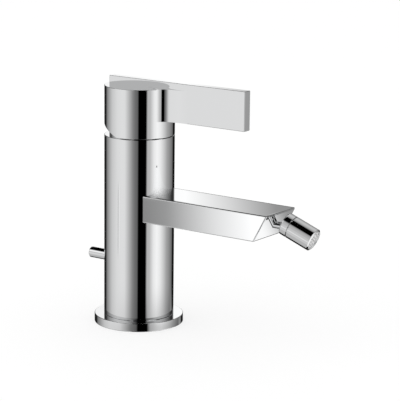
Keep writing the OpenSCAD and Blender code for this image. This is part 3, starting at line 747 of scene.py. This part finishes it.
def round_of(*panels):
    """Brightness all round the object: pairs of an angle from the camera and a tone."""
    stops = [(angle / 360 + 0.5, tone) for angle, tone in panels]
    return free.add("ValToRGB", {"stops": stops}, {"Fac": turn})


def blended(mask, low, high):
    return free.add("Mix", {"data_type": "RGBA"}, {"Factor": mask, 6: low, 7: high}, out=2)


walls = round_of(
    (-180, 0.012), (-142, 0.015), (-133, 0.22), (-120, 0.38), (-100, 0.64), (-78, 0.78), (-60, 0.815),
    (-49, 0.80), (-22, 0.26), (-14, 0.17), (-6.5, 0.13), (-3.5, 0.0), (21.5, 0.0), (26, 0.50), (34, 0.53),
    (48, 0.90), (60, 1.02), (72, 0.92), (102, 0.41), (126, 0.22), (136, 0.16), (141, 0.005), (180, 0.012))
deep = round_of(
    (-180, 0.01), (-142, 0.015), (-133, 0.22), (-120, 0.33), (-100, 0.60), (-80, 0.71), (-60, 0.70),
    (-49, 0.66), (-22, 0.20), (-6.5, 0.10), (-3.5, 0.0), (21.5, 0.0), (30, 0.42), (50, 0.62), (61, 0.66),
    (81, 0.49), (102, 0.28), (122, 0.13), (136, 0.33), (139, 0.33), (145, 0.01), (180, 0.01))
rim = round_of(
    (-180, 0.01), (-142, 0.015), (-133, 0.22), (-120, 0.33), (-100, 0.50), (-76, 0.66), (-60, 0.62),
    (-38, 0.8), (-25, 0.8), (-17, 0.05), (0, 0.05), (30, 0.3), (38, 1.0), (90, 1.05), (102, 0.5),
    (122, 0.13), (136, 0.33), (139, 0.33), (145, 0.01), (180, 0.01))
ground = round_of(
    (-180, 0.0), (-165, 0.0), (-137, 0.03), (-131, 0.45), (-120, 0.50), (-60, 0.52), (-38, 0.9),
    (-25, 0.9), (-17, 0.03), (28, 0.03), (40, 1.0), (112, 1.0), (136, 1.08), (144, 1.05), (147.5, 0.1),
    (150, 0.0), (180, 0.0))
under = round_of((-180, 0.0), (28, 0.0), (40, 0.9), (80, 0.9), (100, 0.0), (180, 0.0))
level = round_of(
    (-180, 0.0), (-142, 0.015), (-133, 0.22), (-120, 0.38), (-100, 0.50), (-88, 0.62), (-74, 0.72),
    (-60, 0.66), (-47, 0.60), (-20, 0.22), (-4, 0.0), (21.5, 0.0), (26, 0.50), (34, 0.53), (48, 0.90),
    (60, 1.02), (72, 0.92), (102, 0.41), (126, 0.22), (136, 0.16), (141, 0.005), (158, 0.2), (166, 0.38),
    (171, 0.3), (174, 0.0), (180, 0.0))
low_sky = round_of(
    (-180, 1.0), (-178.6, 0.98), (-175, 0.3), (-140, 0.03), (-110, 0.45), (-88, 0.50), (-74, 0.52),
    (-47, 0.60), (-20, 0.22), (-4, 0.0), (21.5, 0.0), (26, 0.56), (34, 0.60), (48, 1.0), (60, 1.15),
    (72, 1.04), (102, 0.46), (126, 0.25), (141, 0.01), (165, 0.2), (175.5, 0.28), (176.0, 0.35),
    (176.6, 0.56), (177.4, 0.78), (178.1, 0.99), (178.6, 1.08), (179.2, 1.09), (180, 1.0))
middle_sky = round_of(
    (-180, 1.0), (-178.6, 0.98), (-175, 0.05), (-140, 0.02), (-110, 0.35), (-88, 0.55), (-74, 0.62),
    (-47, 0.55), (-20, 0.15), (-4, 0.0), (21.5, 0.0), (28, 0.14), (44, 0.26), (56, 0.43), (72, 0.48),
    (89, 0.38), (109, 0.19), (128, 0.06), (141, 0.01), (165, 0.2), (175.5, 0.28), (176.0, 0.35),
    (176.6, 0.56), (177.4, 0.78), (178.1, 0.99), (178.6, 1.08), (179.2, 1.09), (180, 1.0))
panel = round_of(
    (-180, 0.0), (-115, 0.0), (-98, 0.75), (-90, 1.0), (-66, 1.0), (-50, 0.60), (-40, 0.48), (-36, 0.35),
    (-32, 0.8), (-22, 0.8), (-18, 0.0), (30, 0.0), (36, 0.8), (50, 0.8), (58, 0.0), (140, 0.0),
    (150, 0.6), (157, 0.45), (163, 0.3), (172, 0.2), (175, 0.0), (180, 0.0))
high_sky = round_of(
    (-180, 0.0), (32, 0.0), (38, 0.8), (48, 0.8), (54, 0.0), (120, 0.0), (145, 0.6), (160, 0.6),
    (175, 0.0), (180, 0.0))
crown = round_of(
    (-180, 0.8), (-150, 0.85), (-125, 0.75), (-100, 0.35), (-60, 0.0), (40, 0.0), (80, 0.15),
    (120, 0.35), (140, 0.5), (160, 0.75), (180, 0.8))
card = round_of(
    (-73.9, 0.19), (-73.4, 0.27), (-72.6, 0.53), (-71.9, 0.76), (-71.2, 1.0), (-70.7, 1.14), (-70.2, 1.2))

card_width = bearing.step(*CARD_LEFT) - bearing.step(*CARD_RIGHT)
card_height = rise.step(*CARD_FOOT) - rise.step(*CARD_HEAD)
studio = blended(card_width * card_height, walls, card)

# Each round takes over from the one before between two heights over the level,
# in degrees. The first rounds lie below the walls, the others above them.
for low, high, below in ((-16.6, -15.0, deep), (-18.0, -16.9, rim), (-35.3, -33.9, ground),
                         (-60.0, -54.0, under), (-80.0, -72.0, BLACK)):
    studio = blended(rise.step(low, high), below, studio)
for height, low, high, above in ((rise, -8.6, -7.2, level), (rise, 6.5, 8.2, low_sky),
                                 (rise + bearing * SKY_LEAN, 12.51, 12.53, middle_sky),
                                 (rise, 17.0, 21.0, panel), (rise, 38.0, 48.0, high_sky),
                                 (rise, 57.0, 63.0, crown)):
    studio = blended(height.step(low, high), studio, above)
mirrored = free.add("LightPath", out="Is Glossy Ray")
light = free.add("Background", sockets={"Color": blended(mirrored, WHITE, studio)})
free.add("OutputWorld", sockets={"Surface": light})


# Deck: the white board that the tap stands on, which takes its soft shadow.
# It glows a little to the camera, so that it stays as white as paper.

DECK_HALF = 6
DECK_THICK = 0.01
DECK_GLOW = 0.7

deck_finish = bpy.data.materials.new("white_deck")
free = emptied(deck_finish)
shade = free.add("BsdfDiffuse", sockets={"Color": WHITE})
glow = free.add("Emission", sockets={"Color": WHITE, "Strength": 1.0})
share = free.add("LightPath", out="Is Camera Ray") * DECK_GLOW
surface = free.add("MixShader", sockets={0: share, 1: shade, 2: glow})
free.add("OutputMaterial", sockets={"Surface": surface})
deck = prism("deck", flat(block_outline(-DECK_HALF, DECK_HALF, DECK_HALF)), -DECK_THICK, 0)
deck.data.materials.append(deck_finish)
deck.visible_glossy = False
deck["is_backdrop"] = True


# Lamp: a soft square lamp over the left front, which gives the shadow on the
# deck its side. It isn't seen in the chrome.

LAMP_SIZE = 1.2
LAMP_POWER = 1.5
LAMP_PLACE = (-0.5, -0.7, 1.1)

lamp = bpy.data.objects.new("lamp", bpy.data.lights.new("lamp", "AREA"))
lamp.data.size = LAMP_SIZE
lamp.data.energy = LAMP_POWER
lamp.location = LAMP_PLACE
lamp.rotation_euler = Vector(LAMP_PLACE).to_track_quat("Z", "Y").to_euler()
lamp.visible_glossy = False
bpy.context.scene.collection.objects.link(lamp)


# Camera: a long lens from the front left and a little above, fitted to the
# outlines of column, flange, cap, blade and spout.

CAMERA_AWAY = 1.2040
CAMERA_HEIGHT = 0.3490
CAMERA_YAW = radians(1.857)
CAMERA_PITCH = radians(12.597)
CAMERA_ROLL = radians(0.664)
LENS = 172.58
SENSOR = 36
FAR_END = 20

camera = bpy.data.objects.new("camera", bpy.data.cameras.new("camera"))
camera.data.lens = LENS
camera.data.sensor_width = SENSOR
camera.data.sensor_fit = "HORIZONTAL"
camera.data.clip_end = FAR_END
camera.matrix_world = (
    Matrix.Translation((CAMERA_AWAY * sin(AZIMUTH), -CAMERA_AWAY * cos(AZIMUTH), CAMERA_HEIGHT))
    @ Matrix.Rotation(AZIMUTH - CAMERA_YAW, 4, "Z")
    @ Matrix.Rotation(pi / 2 - CAMERA_PITCH, 4, "X")
    @ Matrix.Rotation(CAMERA_ROLL, 4, "Z"))
bpy.context.scene.collection.objects.link(camera)
bpy.context.scene.camera = camera
bpy.context.scene.view_settings.view_transform = "Standard"

low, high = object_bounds()
